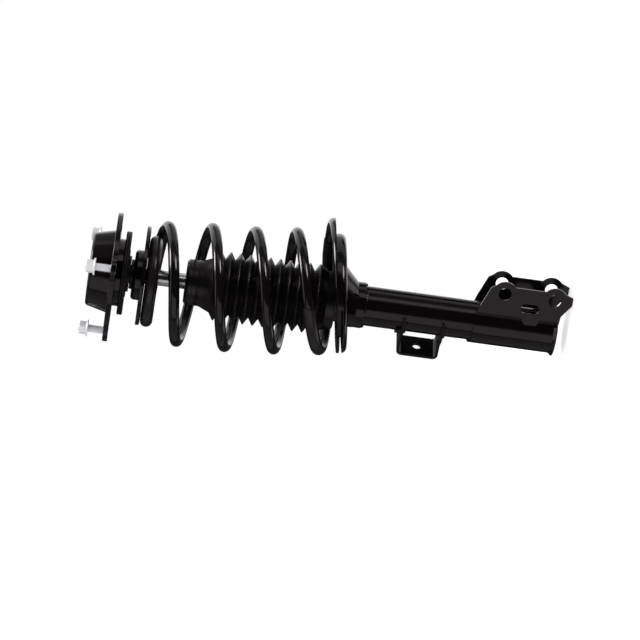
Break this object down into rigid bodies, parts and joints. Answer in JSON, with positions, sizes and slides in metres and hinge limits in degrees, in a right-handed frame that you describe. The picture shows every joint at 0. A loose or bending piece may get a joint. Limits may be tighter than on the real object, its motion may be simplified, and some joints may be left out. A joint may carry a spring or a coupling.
{
  "type": "strut assembly",
  "caption": "MacPherson suspension strut: top mount with studs, coil spring, dust boot, damper tube with lower spring seat, link bracket and knuckle clevis.",
  "frame": {"origin": "on the rod's axis, in the plane of the mount plate's upper face", "axes": "+Z along the rod towards the vehicle's body, +X towards the wheel knuckle, the knuckle bolts run along Y"},
  "size_m": [0.2, 0.1778, 0.618],
  "materials": {
    "black_paint": "gloss",
    "spring_paint": "gloss",
    "zinc_steel": "bright zinc plate",
    "black_steel": "satin",
    "ground_steel": "ground",
    "chrome": "polished",
    "black_rubber": "matte",
    "foam": "matte",
    "polymer": "matte",
    "sintered_iron": "matte"
  },
  "bodies": {
    "mount": {"mount_top_shell": "black_paint", "mount_bottom_shell": "black_paint", "mount_studs": "zinc_steel", "stud_nuts": "zinc_steel", "mount_rubber": "black_rubber", "dust_ring": "black_rubber", "bearing_core": "black_steel", "bearing_outer_race": "ground_steel", "bearing_balls": "ground_steel", "bearing_cage": "polymer"},
    "rod_group": {"bearing_inner_race": "ground_steel", "rod_washer": "zinc_steel", "rod_nut": "zinc_steel", "neck_spacer": "black_steel", "upper_spring_seat": "black_paint", "seat_washer": "zinc_steel", "piston_rod": "chrome", "rebound_stop": "ground_steel", "piston": "sintered_iron", "piston_ring": "polymer", "piston_nut": "ground_steel", "bump_stop": "foam", "coil_spring": "spring_paint", "spring_sleeve": "black_rubber", "spring_end_sleeve": "black_rubber"},
    "strut_body": {"dust_boot": "black_rubber", "boot_ring": "black_paint", "tube_cap": "black_paint", "rod_seal": "black_rubber", "rod_guide": "sintered_iron", "guide_bush": "polymer", "pressure_tube": "ground_steel", "base_valve": "ground_steel", "strut_tube": "black_paint", "tube_base": "black_paint", "lower_spring_seat": "black_paint", "lower_spring_pad": "black_rubber", "seat_welds": "black_paint", "link_bracket": "black_paint", "link_welds": "black_paint", "knuckle_bracket": "black_paint", "knuckle_welds": "black_paint"}
  },
  "joints": [
    {"name": "steer", "type": "hinge", "parent": "mount", "child": "rod_group", "pos_m": [0, 0, 0], "axis": [0, 0, 1], "range_deg": [-40, 40]},
    {"name": "stroke", "type": "slide", "parent": "rod_group", "child": "strut_body", "axis": [0, 0, 1], "range_m": [0, 0.119], "stiffness_N_per_m": 25000, "springref_m": -0.1, "deforming": ["coil_spring", "spring_end_sleeve", "dust_boot"]}
  ]
}
